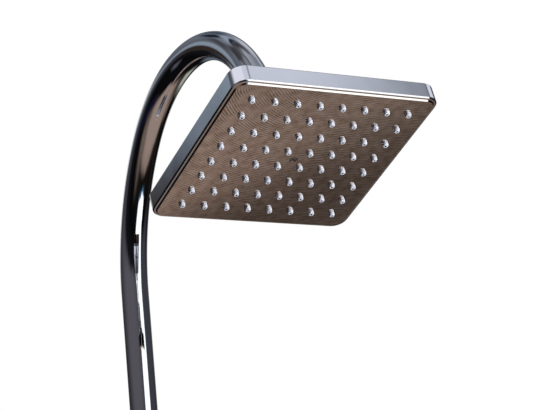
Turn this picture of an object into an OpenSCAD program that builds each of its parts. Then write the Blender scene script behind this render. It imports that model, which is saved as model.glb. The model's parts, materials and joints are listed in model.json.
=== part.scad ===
// Solar outdoor shower: black storage column, swivelling bent neck and square rain head.
// Millimetres, +Z up, user's side towards -Y, origin on the floor under the column's axis.

/* [Base] */
// Side of the square base plate
base_w = 220; // [212:1:260]
// Corner radius of the base plate
base_r = 26; // [15:1:40]
// Thickness of the base plate
base_t = 6; // [4:0.5:10]
// Bevel on the base plate's top edge
base_bevel = 1.5; // [0.5:0.1:3]
// Spacing of the four floor anchor holes
anchor_pitch = 184; // [180:1:190]
// Diameter of a floor anchor hole
anchor_d = 11; // [8:0.5:12]
// Height of the frame that the column is pushed over
spigot_h = 40; // [30:1:60]
// Wall of that frame
spigot_wall = 4; // [3:0.5:6]
// Thread diameter of the four side screws
side_screw_d = 6; // [5:0.5:8]
// Length of a side screw under its head
side_screw_l = 9; // [8:0.5:12]
// Spacing of the two screws on one side
side_screw_pitch = 80; // [60:1:90]

/* [Tank] */
// Width of the square column
tank_w = 160; // [158:1:162]
// Corner radius of the column
tank_r = 26; // [22:1:32]
// Side wall of the tank
tank_wall = 3.5; // [3:0.25:4]
// Floor and top wall of each tank section
end_wall = 5; // [4:0.5:6]
// Height of the tank's floor, over the service space
floor_z = 215; // [210:1:230]
// Height of the seam between the two tank sections
seam_z = 900; // [880:1:920]
// Height of the tank's top
tank_top = 1680; // [1660:1:1700]
// Outer radius of the threaded neck that joins the sections
link_r = 32; // [28:0.5:36]
// Wall of that neck, and of its socket
link_wall = 5; // [4:0.5:6]
// Height of that neck
link_h = 32; // [24:1:40]
// Height of the trim band over the seam
band_h = 24; // [16:1:36]
// Thickness of the trim band
band_t = 2; // [1.5:0.25:4]
// Height of the drain plug above the tank's floor
drain_up = 24; // [20:1:40]
// Thread diameter of the drain plug
drain_d = 16; // [12:1:18]

/* [Top fitting] */
// Wall of the top cap
cap_t = 3; // [2:0.25:4]
// Depth of the cap's skirt down the tank
cap_skirt = 14; // [8:1:24]
// Rise of the cap above the tank
cap_rise = 14; // [13:0.5:20]
// Bevel round the cap's top
cap_bevel = 3; // [1:0.25:4]
// Outer diameter of the brass socket that holds the neck
socket_d = 32; // [31:0.5:36]
// Reach of the socket above the tank
socket_up = 50; // [44:1:70]
// Reach of the socket below the tank's top
socket_down = 38; // [32:1:50]
// Depth of the neck pipe in the socket
pipe_seat = 38; // [30:1:42]
// Outer diameter of the chrome nut round the neck
neck_nut_d = 40; // [39:0.5:46]
// Lip of that nut over the pipe's collar
neck_nut_lip = 5; // [3:0.5:8]
// Height of the collar brazed on the pipe
collar_h = 4; // [3:0.5:6]
// Diameter of that collar
collar_d = 30; // [27:0.5:30.5]

/* [Neck] */
// Outer diameter of the neck pipe
pipe_d = 22; // [21:0.1:22.4]
// Wall of the neck pipe
pipe_wall = 1.2; // [0.8:0.1:1.5]
// Radius of the neck's lower and wider bend, on the pipe's axis
bend_r = 167; // [150:1:190]
// Angle that the lower bend turns through
bend_angle = 42; // [30:1:55]
// Radius of the neck's upper bend, on the pipe's axis
arc_r = 117; // [100:1:135]
// Angle that both bends turn through together
arc_angle = 144.6; // [136:0.1:151]
// Height of the start of the bends above the tank
neck_rise = 336; // [300:1:380]
// Straight run from the bend to the ball's centre
tip_run = 70; // [55:0.5:90]

/* [Ball joint] */
// Diameter of the ball
ball_d = 22; // [21:0.5:23]
// Diameter of the stud's waist
waist_d = 11; // [10:0.5:11.5]
// Water way through the stud
stud_bore = 7; // [5:0.5:7.5]
// Length of the waist, from the ball's centre to the shoulder
waist_l = 17; // [16.5:0.25:20]
// Length of the stud's shoulder
shoulder_l = 7; // [5:0.5:10]
// Length of the stud's threaded shank
shank_l = 14; // [10:0.5:16]
// Diameter of that shank
shank_d = 16; // [14:0.5:17]
// Thickness of the plastic seat rings round the ball
seat_t = 2; // [1.5:0.25:2.5]
// Angle that the ball can tilt to any side
ball_cone = 24; // [15:1:24]
// Outer diameter of the nut that traps the ball
ball_nut_d = 48; // [46:0.5:54]
// Diameter of the head's threaded boss
boss_d = 42; // [38:0.5:43]

/* [Head] */
// Side of the square head
head_w = 155; // [145:1:180]
// Corner radius of the head
head_r = 10.5; // [8:0.5:20]
// Tilt of the head at rest, from level
head_tilt = 17; // [14:0.5:30]
// Height of the head's side wall, between its bevels
side_h = 11.5; // [9:0.25:15]
// Bevel round the face and the lip
bevel = 0.9; // [0.6:0.1:1.3]
// Bevel round the back
back_bevel = 1.5; // [0.5:0.1:3]
// Width of the flat lip round the spray face
lip_w = 1.2; // [0.8:0.1:2.5]
// Thickness of the spray face plate
plate_t = 2.4; // [2:0.1:3]
// Thickness of the nozzle mat
mat_t = 2.6; // [2:0.1:3]
// Width of the ledge that the nozzle mat presses on
ledge_w = 4; // [3:0.5:6]
// Thickness of the shell's back
back_t = 3; // [2.5:0.25:4]
// Side of the raised stage on the back
stage_w = 100; // [70:1:120]
// Corner radius of that stage
stage_r = 14; // [8:0.5:20]
// Height of that stage
stage_h = 2.4; // [1.5:0.1:2.8]
// Height of the ball's centre above the spray face
ball_h = 28; // [27.5:0.25:32]
// Number of nozzles along one side
nozzle_rows = 8; // [6:1:8]
// Spacing of the nozzles
nozzle_pitch = 17; // [14:0.5:17.5]
// Diameter of a nozzle at the face
nozzle_d = 4.6; // [3.5:0.1:5]
// Length of a nozzle out of the face
nozzle_out = 2; // [1.4:0.1:4]
// Diameter of the jet hole in a nozzle
jet_d = 1.2; // [0.8:0.1:1.6]
// Head diameter of the centre screw
face_screw_d = 5.6; // [5:0.2:8]
// Thread diameter of the centre screw
face_thread_d = 3.4; // [3:0.1:4]

/* [Mixer] */
// Height of the mixer's axis
mixer_z = 1100; // [1080:1:1120]
// Diameter of the mixer's brass body
mixer_d = 42; // [41:0.5:43]
// Depth of the body inside the tank
mixer_in = 46; // [42:1:50]
// Diameter of the ceramic cartridge
cartridge_d = 35; // [34:0.5:36]
// Radius of the ball-shaped front of the collar
dome_r = 25; // [24.5:0.25:27]
// Wall of that collar
dome_wall = 1.6; // [1.2:0.1:2]
// Side of the square cover plate
rose_w = 72; // [66:1:90]
// Thickness of the cover plate
rose_t = 8; // [7.5:0.25:10]
// Corner radius of the cover plate
rose_r = 12; // [6:0.5:16]
// Wall of the lever's hub
hub_wall = 5.4; // [5.2:0.1:7]
// Length of the lever's grip
lever_l = 80; // [60:1:110]
// Thickness of the grip
lever_t = 7; // [5:0.5:9]
// Width of the grip at the hub
lever_w = 18; // [14:0.5:22]
// Angle that the lever lifts
lift_angle = 25; // [15:1:25]

/* [Service pipes] */
// Height of the inlet, the foot tap and the pipe between them
service_z = 150; // [140:1:155]
// Outer diameter of the inner water pipes
tube_d = 12; // [11:0.5:12.5]
// Bore of those pipes
tube_bore = 8; // [6:0.5:9]
// Bend radius of those pipes
tube_bend = 22; // [20:1:24]
// Slope of the jogs in those pipes
jog_angle = 60; // [50:1:70]
// Diameter of the threads through the column's wall
wall_thread_d = 20; // [18:0.5:22]
// Hose thread of the inlet, over its crests
hose_thread_d = 26.4; // [24:0.1:27]
// Diameter of the push-on hose spigot
hose_spigot_d = 16; // [14:0.5:18]
// Diameter of the pipe between inlet and foot tap
manifold_d = 26; // [25:0.5:30]
// Travel of the non-return valve's poppet
poppet_lift = 4; // [2:0.5:5]
// Wire of the poppet's spring
spring_wire = 1.2; // [0.8:0.1:1.4]
// Turns of that spring
spring_turns = 5; // [4:1:6]

/* [Foot tap] */
// Diameter of the foot tap's barrel
barrel_d = 28; // [26:0.5:30]
// Length of the barrel
barrel_l = 44; // [42:1:50]
// Drop of the spout below the barrel's axis
spout_drop = 44; // [36:1:60]
// Thread diameter of the spout's end
spout_d = 21; // [19:0.5:22]
// Diameter of the tap's handle
knob_d = 38; // [32:1:44]
// Length of the handle
knob_l = 20; // [16:1:26]

/* [Fits] */
// Gap between pieces that move past each other
gap = 0.3; // [0.2:0.05:0.4]
// Clearance of a shaft in its bore
run = 0.05; // [0.02:0.01:0.1]
// Clearance between pieces fixed to each other
seat = 0.1; // [0.05:0.01:0.15]
// Clearance in the ball joint's rings and thread
slip = 0.12; // [0.08:0.01:0.15]
// Thickness of the flat rubber seals
seal_t = 2; // [1.5:0.25:3]
// Section of the round rubber rings
ring_d = 2.4; // [2:0.1:2.6]

/* [Hidden] */
$fn = 64;
over = 0.5;          // overshoot of a cutting shape
lap = 0.5;            // length that a straight run of pipe laps into a bend
hair = 0.05;          // amount that a straight run is slimmer than its bend
bend_link = 1;       // straight run between the neck's two bends
nut_h = 8;           // height of a lock nut
nut_rim = 8;         // reach of a lock nut's corners past its thread
wall_nut_rim = 6;    // the same on the inlet's and the foot tap's lock nuts
edge_bevel = 1.5;    // bevel on the chrome pieces' outer edges
tube_seat = 12;      // depth of the sockets that the inner pipes go into
tube_stop = 1;       // room left at the bottom of such a socket
key_r = 1.5;         // half the key size of the small screws
half_w = tank_w / 2;
inner_w = tank_w - 2 * tank_wall;
inner_r = tank_r - tank_wall;
spigot_w = inner_w - 2 * seat;
spigot_r = inner_r - seat;
side_screw_z = base_t + spigot_h / 2;
socket_r = socket_d / 2;
pipe_r = pipe_d / 2;
flange_t = 5;        // thickness of the socket's flange
flange_rim = 10;     // reach of that flange past the socket
flange_r = socket_r + flange_rim;
gasket_in = 1;       // inset of the flat seal under it
neck_seal_in = 8;    // depth of the upper round seal in the socket
neck_seal_step = 10; // distance of the lower one from it
link_over = 6;       // height of the link's socket past its neck
arc_z = tank_top + neck_rise;
cap_top = tank_top + cap_rise;
socket_top = tank_top + socket_up;
pipe_foot = socket_top - pipe_seat;
collar_z = socket_top + gap;
nut_lip_z = collar_z + collar_h + gap;
tube_r = tube_d / 2;
tube_in = tube_seat - tube_stop;

// Ball joint and head, seen from the ball's centre
ball_r = ball_d / 2;
tip_lean = 180 - arc_angle;
arc_y = -bend_r + (bend_r - arc_r) * cos(bend_angle) - bend_link * sin(bend_angle);
crown_z = arc_z + (bend_r - arc_r) * sin(bend_angle) + bend_link * cos(bend_angle);
ball_y = arc_y + arc_r * cos(arc_angle) - tip_run * sin(arc_angle);
ball_z = crown_z + arc_r * sin(arc_angle) + tip_run * cos(arc_angle);
shoulder_top = waist_l + shoulder_l;
pipe_end = shoulder_top + gap;
ring_low = 2.4;      // lower edge of the upper seat ring
ring_top = 5.9;      // its upper edge
seat_low = 8.2;      // lower edge of the lower seat, down from the ball's centre
seat_high = 0.3;     // its upper edge
boss_drop = 2;       // distance of the boss's end under that ring's top
waist_show = 7;      // length of the waist that the ball nut leaves free
screen_t = 1.6;      // thickness of the sieve
screen_rows = 2;     // rows of its holes on each side of the middle one
feed_at = 8;         // distance of the head's feed holes from its middle
feed_hole_r = 1.6;
pillar_wall = 3;     // wall round the centre screw's thread
thread_end = 1;      // wall left between that thread's hole and the ball's socket
screw_end = 2;       // room left over the centre screw's tip
boss_top = ball_h + ring_top - boss_drop;
boss_r = boss_d / 2;
socket_ball_r = ball_r + slip + seat_t + slip;
nut_top = ball_h + waist_l - waist_show;
plate_half = head_w / 2 - bevel - lip_w - seat;
plate_w = 2 * plate_half;
plate_r = head_r - bevel - lip_w - seat;
mat_top = plate_t + mat_t;
shell_top = bevel + bevel + side_h + back_bevel;
chamber_top = shell_top - back_t;
thread_top = ball_h - socket_ball_r - thread_end;
field = (nozzle_rows - 1) * nozzle_pitch / 2;
stage_top = shell_top + stage_h;

// Mixer, measured outwards from the tank's front
pivot_u = 24;        // centre of the lever's ball pivot
mixer_r = mixer_d / 2;
cart_r = cartridge_d / 2;
cart_floor = -2;
cart_over = 4;       // reach of the cartridge past the pivot
cart_nut_t = 3;      // thickness of the ring nut in front of it
cart_step = 1.6;     // step from the cartridge's bore to that nut's thread
cart_base = 8;       // floor of the cartridge
cart_wall = 3;
cart_lid = 2;
cart_neck = 2;       // room round the stem's ball
cart_nut_room = 3.5; // room round that ball in the ring nut
cart_front = pivot_u + cart_over;
barrel_front = cart_front + cart_nut_t;
port_u = -30;        // the ports' place behind the tank's front
mixer_rim = 6;       // reach of the mixer body's flange past its barrel
mixer_rim_t = 4;     // thickness of that flange
way_out = 8.6;        // water ways through body and cartridge, outwards from the axis
way_r = 3;
way_over = 1;        // length that a port's bore passes the water way
nipple_in = 13;       // nipples' inner ends, outwards from the axis
nipple_wall = 2;
nipple_r = tube_r + nipple_wall;
nipple_hex = 2.5;    // reach of a nipple's corners past its barrel
nipple_hex_t = 4;
nipple_out = 19;     // reach of the nipples past the mixer body
port_reach = mixer_r + nipple_out;
collar_step = 6;     // depth of the collar's seat on the barrel
collar_room = 11;    // angle past the lever's lift that the collar's mouth opens
stem_r = 4;
stem_ball_r = 6;
hub_in = dome_r + 2 * gap;
hub_out = hub_in + hub_wall;
hub_cut = 11.5;       // hub's rim, outwards from the pivot
hub_web = 1.4;       // web that the lever's screw clamps, and that screw's head
lever_screw_l = 9;   // depth of that screw in the stem
screw_room = 1;      // room left under a screw's tip
cap_rim = 2.5;       // reach of the cap's recess past the stem
screw_rim = 0.4;     // inset of the screw's head from the stem's edge
lever_tip_r = 6.5;   // half the width of the grip's round end
grip_in = 1;         // length of the grip inside the hub
lever_out = 52;       // grip's angle from the mixer's axis
port_y = -half_w - port_u;
elbow_x = port_reach + tube_bend;

// Service space
manifold_in = 32;    // inset of the manifold's ends from the column's outside
manifold_half = half_w - manifold_in;
manifold_bore_r = 6;
manifold_r = manifold_d / 2;
spigot_seat = 10;     // depth of the wall fittings in the manifold
wall_r = wall_thread_d / 2;
wall_in = half_w - manifold_half + spigot_seat - gap;
cold_in = 68;        // inset of the cold branch from the column's front
feed_in = 52;        // inset of the tank's feed from its back
cold_y = cold_in - half_w;
feed_y = half_w - feed_in;
branch_up = 6;       // height of the branches over the manifold
branch_r = 11;
feed_bore_r = 5;
feed_pipe_r = 8;     // the non-return valve's lower spigot
feed_r = 9;          // its thread through the tank's floor
feed_step = 2;       // shoulder under that floor
feed_up = 12;        // reach of the thread over the floor
feed_nut_rim = 5;
gland_wall = 2;
gland_rim = 3;       // reach of the grommet's lips past its neck
gland_t = 3;         // thickness of a lip
branch_top = service_z + manifold_r + branch_up;
check_up = 2;        // gap between branch and valve body
check_drop = 8;      // distance of the valve body under the floor
check_end = 6;       // end walls of its chamber
check_low = branch_top + check_up;
check_top = floor_z - check_drop;
check_r = 14;
check_cavity_r = 11;
cavity_low = check_low + check_end;
cavity_top = check_top - check_end;
poppet_room = 1.5;   // water way round the poppet
poppet_stem_r = 2.5;
spring_in = 4;       // inset of the spring from the chamber's wall
coil_steps = 20;     // steps of the spring's sweep in one turn
poppet_h = 3;
poppet_z = cavity_low + gap;
jog_room = 6;        // straight run between the cold pipe's jog and its elbow
mixed_room = 20;     // straight run between the mixed pipe's jog and the socket
hot_room = 20;       // distance of the hot pipe's mouth from the tank's top wall
cold_jog_z = mixer_z - tube_bend - jog_rise(norm([elbow_x, port_y - cold_y])) - jog_room;
mixed_jog_z = tank_top - socket_down - jog_rise(abs(port_y)) - mixed_room;
drain_z = floor_z + end_wall + drain_up;
drain_r = drain_d / 2;
drain_boss_l = 8;    // depth of the drain's boss inside the wall
drain_boss_wall = 5;
drain_rim = 6;
drain_head_t = 7;
drain_key_r = 5;
seal_rim = 4;        // reach of the small flat seals past their threads
inlet_rim = 8;       // reach of the inlet's corners past its thread
inlet_hex_t = 6;
hose_thread_l = 16;
adapter_wall = 4;
adapter_start = 1;   // gap between inlet hexagon and hose adapter
adapter_l = 19;
adapter_end = 4;     // its end wall
adapter_bore_r = 5;
adapter_spigot_l = 21;

// Foot tap, measured outwards from the tank's front
barrel_wall = 3.5;
barrel_cavity = 19.8; // start of the barrel's chamber
spout_at = 27.3;     // the spout's place on the barrel
spout_step = 3;      // step from the spout to its thread
spout_thread_l = 12;
spout_bore_r = 6;
rosette_rim = 13;
rosette_t = 5;
bonnet_in = 12;      // depth of the bonnet in the barrel
bonnet_hex_t = 6;
bonnet_edge = 1;     // inset of the bonnet's corners from the barrel
knob_gap = 2;
valve_t = 4;         // thickness of the spindle's disc
knob_hub = 12;       // depth of the spindle in the handle
knob_web = 2;        // web that the handle's screw clamps
knob_screw_t = 2.4;  // thickness of that screw's head
knob_screw_l = 9;    // length of its shank
knob_screw_rim = 1;  // room round its head
scallop_r = 6;       // radius of the flutes round the handle
scallop_at = 3.3;    // their centres, outwards from the handle's edge
knob_u = seal_t + barrel_l + bonnet_hex_t + knob_gap;

// Height that a jog with a given sideways offset takes
function jog_run(offset) = (offset - 2 * tube_bend * (1 - cos(jog_angle))) / sin(jog_angle);
function jog_rise(offset) = 2 * tube_bend * sin(jog_angle) + jog_run(offset) * cos(jog_angle);

// Rounded square block standing on z = 0, with bevels round its lower and upper edges
module soft_block(w, r, h, low = 0, high = 0) {
    half = w / 2;
    side = [[-half + low, 0], [half - low, 0], [half, low], [half, h - high],
            [half - high, h], [-half + high, h], [-half, h - high], [-half, low]];
    rotate([90, 0, 90]) linear_extrude(w - 2 * r, center = true) polygon(side);
    rotate([90, 0, 0]) linear_extrude(w - 2 * r, center = true) polygon(side);
    for (x = [-1, 1], y = [-1, 1])
        translate([x * (half - r), y * (half - r), 0])
            rotate_extrude()
                polygon([[0, 0], [r - low, 0], [r, low], [r, h - high], [r - high, h], [0, h]]);
}

// Flat ring standing on z = 0
module ring(r_out, r_in, h) {
    difference() {
        cylinder(r = r_out, h = h);
        translate([0, 0, -over]) cylinder(r = r_in, h = h + 2 * over);
    }
}

// Disc with bevels round its lower and upper edges
module soft_disc(r, h, low = 0, high = 0) {
    rotate_extrude() polygon([[0, 0], [r - low, 0], [r, low], [r, h - high], [r - high, h], [0, h]]);
}

module o_ring(r_out, d) {
    rotate_extrude() translate([r_out - d / 2, 0]) circle(d = d, $fn = 32);
}

module hex_nut(r, bore_r, h) {
    difference() {
        cylinder(r = r, h = h, $fn = 6);
        translate([0, 0, -over]) cylinder(r = bore_r, h = h + 2 * over);
    }
}

// Places on the column: +Z of the child points out of the wall
module at_front(z) {
    translate([0, -half_w, z]) rotate([90, 0, 0]) children();
}

module at_back(z) {
    translate([0, half_w, z]) rotate([-90, 0, 0]) children();
}

module at_side_screws() {
    for (side = [-1, 1], y = [-1, 1])
        translate([side * half_w, y * side_screw_pitch / 2, side_screw_z]) rotate([0, side * 90, 0])
            children();
}

// Frame of the stud: ball's centre at the origin, +Z back up the pipe
module at_stud() {
    translate([0, arc_y, crown_z]) rotate([-tip_lean, 0, 0]) translate([0, -arc_r, -tip_run]) children();
}

// Frame of the head: middle of the spray face at the origin, +Z through its back
module at_head() {
    translate([0, ball_y, ball_z]) rotate([-head_tilt, 0, 0]) translate([0, 0, -ball_h]) children();
}

module at_nozzles() {
    for (i = [0 : nozzle_rows - 1], j = [0 : nozzle_rows - 1])
        translate([i * nozzle_pitch - field, j * nozzle_pitch - field, 0]) children();
}

// Places on the mixer: +Z of the child points out of a port
module at_port(angle) {
    at_front(mixer_z) translate([0, 0, port_u]) rotate([0, 0, angle]) rotate([0, 90, 0]) children();
}

module base_plate() {
    color("dimgray") difference() {
        union() {
            soft_block(base_w, base_r, base_t, 0, base_bevel);
            soft_block(spigot_w, spigot_r, base_t + spigot_h);
        }
        translate([0, 0, base_t])
            soft_block(spigot_w - 2 * spigot_wall, spigot_r - spigot_wall, spigot_h + over);
        for (x = [-1, 1], y = [-1, 1])
            translate([x * anchor_pitch / 2, y * anchor_pitch / 2, -over])
                cylinder(d = anchor_d, h = base_t + 2 * over);
        at_side_screws()
            translate([0, 0, -tank_wall - spigot_wall - seat - over])
                cylinder(r = side_screw_d / 2 + run, h = tank_wall + spigot_wall + 2 * over);
    }
}

module base_screws() {
    color("silver") at_side_screws() difference() {
        union() {
            soft_disc(side_screw_d, side_screw_d / 2, 0, side_screw_d / 8);
            translate([0, 0, -side_screw_l]) cylinder(d = side_screw_d, h = side_screw_l + over);
        }
        translate([0, 0, side_screw_d / 4]) cylinder(r = side_screw_d / 3, h = side_screw_d, $fn = 6);
    }
}

module tank_lower() {
    color([0.09, 0.09, 0.1]) difference() {
        union() {
            difference() {
                translate([0, 0, base_t]) soft_block(tank_w, tank_r, seam_z - base_t);
                translate([0, 0, base_t - over]) soft_block(inner_w, inner_r, floor_z - base_t + over);
                translate([0, 0, floor_z + end_wall])
                    soft_block(inner_w, inner_r, seam_z - floor_z - 2 * end_wall);
            }
            translate([0, 0, seam_z - end_wall]) cylinder(r = link_r, h = end_wall + link_h);
            at_back(drain_z) translate([0, 0, -tank_wall - drain_boss_l])
                cylinder(r = drain_r + drain_boss_wall, h = drain_boss_l + over);
        }
        translate([0, 0, seam_z - end_wall - over])
            cylinder(r = link_r - link_wall, h = end_wall + link_h + 2 * over);
        translate([0, 0, seam_z + link_h / 2 - ring_d / 2 - seat])
            ring(link_r + over, link_r - ring_d - seat, ring_d + 2 * seat);
        at_side_screws()
            translate([0, 0, -tank_wall - over])
                cylinder(r = side_screw_d / 2 + gap, h = tank_wall + 2 * over);
        at_back(service_z)
            translate([0, 0, -tank_wall - over]) cylinder(r = wall_r + seat, h = tank_wall + 2 * over);
        at_front(service_z)
            translate([0, 0, -tank_wall - over]) cylinder(r = wall_r + seat, h = tank_wall + 2 * over);
        at_back(drain_z)
            translate([0, 0, -tank_wall - drain_boss_l - over])
                cylinder(r = drain_r + seat, h = tank_wall + drain_boss_l + 2 * over);
        translate([0, cold_y, floor_z - over])
            cylinder(r = tube_r + gland_wall + seat, h = end_wall + 2 * over);
        translate([0, feed_y, floor_z - over]) cylinder(r = feed_r + seat, h = end_wall + 2 * over);
    }
}

module tank_upper() {
    color([0.09, 0.09, 0.1]) difference() {
        union() {
            difference() {
                translate([0, 0, seam_z]) soft_block(tank_w, tank_r, tank_top - seam_z);
                translate([0, 0, seam_z + end_wall])
                    soft_block(inner_w, inner_r, tank_top - seam_z - 2 * end_wall);
            }
            translate([0, 0, seam_z]) cylinder(r = link_r + seat + link_wall, h = link_h + link_over);
        }
        translate([0, 0, seam_z - over]) cylinder(r = link_r + seat, h = link_h + link_over + 2 * over);
        translate([0, 0, tank_top - end_wall - over])
            cylinder(r = socket_r + seat, h = end_wall + 2 * over);
        at_front(mixer_z)
            translate([0, 0, -tank_wall - over]) cylinder(r = mixer_r + seat, h = tank_wall + 2 * over);
    }
}

module seam_band() {
    outer = tank_w + 2 * (band_t + seat);
    color([0.13, 0.13, 0.14]) translate([0, 0, seam_z - band_h / 2]) difference() {
        soft_block(outer, tank_r + band_t + seat, band_h, band_t / 2, band_t / 2);
        translate([0, 0, -over]) soft_block(tank_w + 2 * seat, tank_r + seat, band_h + 2 * over);
    }
}

module seam_seal() {
    color([0.2, 0.2, 0.2]) translate([0, 0, seam_z + link_h / 2]) o_ring(link_r + seat / 2, ring_d);
}

module top_cap() {
    outer = tank_w + 2 * (cap_t + seat);
    color([0.75, 0.77, 0.8]) difference() {
        translate([0, 0, tank_top - cap_skirt])
            soft_block(outer, tank_r + cap_t + seat, cap_skirt + cap_rise, 0, cap_bevel);
        translate([0, 0, tank_top - cap_skirt - over])
            soft_block(tank_w + 2 * seat, tank_r + seat, cap_skirt + cap_rise - cap_t + over);
        translate([0, 0, cap_top - cap_t - over]) cylinder(r = socket_r + seat, h = cap_t + 2 * over);
    }
}

module neck_socket() {
    bore_r = pipe_r + run;
    color("darkgoldenrod") difference() {
        union() {
            translate([0, 0, tank_top - socket_down]) cylinder(r = socket_r, h = socket_down + socket_up);
            translate([0, 0, tank_top + seal_t]) cylinder(r = flange_r, h = flange_t);
        }
        translate([0, 0, pipe_foot]) cylinder(r = bore_r, h = pipe_seat + over);
        translate([0, 0, tank_top - socket_down - over])
            cylinder(r = tube_bore / 2, h = socket_down + socket_up);
        translate([0, 0, tank_top - socket_down - over])
            cylinder(r = tube_r + seat, h = tube_seat + over);
        for (z = neck_seal_heights())
            translate([0, 0, z - ring_d / 2 - seat])
                cylinder(r = bore_r + ring_d + seat, h = ring_d + 2 * seat);
    }
}

// Heights of the two round seals in the neck's socket
function neck_seal_heights() = [socket_top - neck_seal_in, socket_top - neck_seal_in - neck_seal_step];

module neck_gasket() {
    color([0.2, 0.2, 0.2]) translate([0, 0, tank_top])
        ring(flange_r - gasket_in, socket_r + seat, seal_t);
}

module neck_locknut() {
    color("darkgoldenrod") translate([0, 0, tank_top - end_wall - nut_h])
        hex_nut(socket_r + nut_rim, socket_r + seat, nut_h);
}

module neck_seals() {
    color([0.2, 0.2, 0.2]) for (z = neck_seal_heights())
        translate([0, 0, z]) o_ring(pipe_r + run + ring_d, ring_d);
}

module neck_nut() {
    top = nut_lip_z + neck_nut_lip;
    color([0.8, 0.81, 0.84]) difference() {
        translate([0, 0, cap_top]) soft_disc(neck_nut_d / 2, top - cap_top, 0, edge_bevel);
        translate([0, 0, cap_top - over]) cylinder(r = socket_r + seat, h = nut_lip_z - cap_top + over);
        translate([0, 0, cap_top - over]) cylinder(r = pipe_r + gap, h = top - cap_top + 2 * over);
    }
}

module neck_collar() {
    color([0.8, 0.81, 0.84]) translate([0, 0, collar_z]) ring(collar_d / 2, pipe_r, collar_h);
}

// Quarter or other bend of a pipe, in the plane z = 0, from the x axis round to angle
module pipe_bend(r, bore_r, bend, angle) {
    rotate_extrude(angle = angle, $fn = 48) translate([bend, 0]) difference() {
        circle(r = r);
        circle(r = bore_r);
    }
}

// Straight run that laps into the bends at both its ends
module pipe_run(r, bore_r, h) {
    translate([0, 0, -lap]) ring(r - hair, bore_r + hair, h + 2 * lap);
}

module neck_pipe() {
    bore_r = pipe_r - pipe_wall;
    low = pipe_foot + gap;
    color([0.8, 0.81, 0.84]) {
        translate([0, 0, low]) ring(pipe_r - hair, bore_r + hair, arc_z + lap - low);
        translate([0, -bend_r, arc_z]) rotate([90, 0, 90]) pipe_bend(pipe_r, bore_r, bend_r, bend_angle);
        translate([0, arc_y, crown_z]) rotate([90, 0, 90]) rotate([0, 0, bend_angle]) {
            pipe_bend(pipe_r, bore_r, arc_r, arc_angle - bend_angle);
            translate([arc_r, 0, 0]) rotate([90, 0, 0]) pipe_run(pipe_r, bore_r, bend_link);
        }
        at_stud() translate([0, 0, pipe_end])
            ring(pipe_r - hair, bore_r + hair, tip_run + lap - pipe_end);
    }
}

module neck_bush() {
    color("darkgoldenrod") at_stud() translate([0, 0, pipe_end])
        ring(pipe_r - pipe_wall, shank_d / 2 + run, shank_l);
}

module ball_stud() {
    color([0.8, 0.81, 0.84]) at_stud() difference() {
        union() {
            sphere(d = ball_d);
            cylinder(d = waist_d, h = waist_l + over);
            translate([0, 0, waist_l]) soft_disc(pipe_r, shoulder_l, 2, 0.5);
            translate([0, 0, shoulder_top - over]) cylinder(d = shank_d, h = shank_l + over);
        }
        translate([0, 0, -ball_d]) cylinder(d = stud_bore, h = ball_d + shoulder_top + shank_l + over);
    }
}

module filter_screen() {
    r = shank_d / 2 - seat;
    hole_pitch = r / (screen_rows + 1.2);
    hole_d = hole_pitch * 0.65;
    color("whitesmoke") at_stud() translate([0, 0, shoulder_top + shank_l]) difference() {
        cylinder(r = r, h = screen_t);
        for (x = [-screen_rows : screen_rows], y = [-screen_rows : screen_rows])
            if (norm([x, y]) <= norm([screen_rows, 1]))
                translate([x * hole_pitch, y * hole_pitch, -over])
                    cylinder(d = hole_d, h = screen_t + 2 * over, $fn = 16);
    }
}

module ball_nut() {
    low = stage_top + gap;
    mouth_r = neck_room(nut_top - ball_h);
    color([0.8, 0.81, 0.84]) at_head() difference() {
        translate([0, 0, low]) soft_disc(ball_nut_d / 2, nut_top - low, 1, edge_bevel);
        translate([0, 0, low - over]) cylinder(r = boss_r + slip, h = boss_top + gap - low + over);
        translate([0, 0, low - over])
            cylinder(r = socket_ball_r, h = ball_h + ring_top + seat - low + over);
        translate([0, 0, ball_h]) sphere(r = ball_r + gap);
        translate([0, 0, ball_h + ring_top])
            cylinder(r1 = neck_room(ring_top), r2 = mouth_r, h = nut_top - ball_h - ring_top);
        translate([0, 0, nut_top - over]) cylinder(r = mouth_r, h = 2 * over);
    }
}

// Radius that the tilted waist needs at a height above the ball's centre
function neck_room(height) = height * tan(ball_cone) + waist_d / 2 / cos(ball_cone) + gap;

module ball_ring() {
    color("whitesmoke") at_head() difference() {
        translate([0, 0, ball_h + ring_low]) cylinder(r = socket_ball_r - slip, h = ring_top - ring_low);
        translate([0, 0, ball_h]) sphere(r = ball_r + slip);
        translate([0, 0, ball_h + ring_low])
            cylinder(r1 = neck_room(ring_low), r2 = neck_room(ring_top), h = ring_top - ring_low);
    }
}

module ball_seat() {
    color("whitesmoke") at_head() difference() {
        translate([0, 0, ball_h]) intersection() {
            sphere(r = socket_ball_r - slip);
            translate([0, 0, -seat_low]) cylinder(r = ball_d, h = seat_low - seat_high);
        }
        translate([0, 0, ball_h]) sphere(r = ball_r + slip);
    }
}

module ball_seal() {
    color([0.2, 0.2, 0.2]) at_head() translate([0, 0, ball_h + ring_low - seat_t / 2 - seat])
        o_ring(socket_ball_r - slip, seat_t);
}

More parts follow.
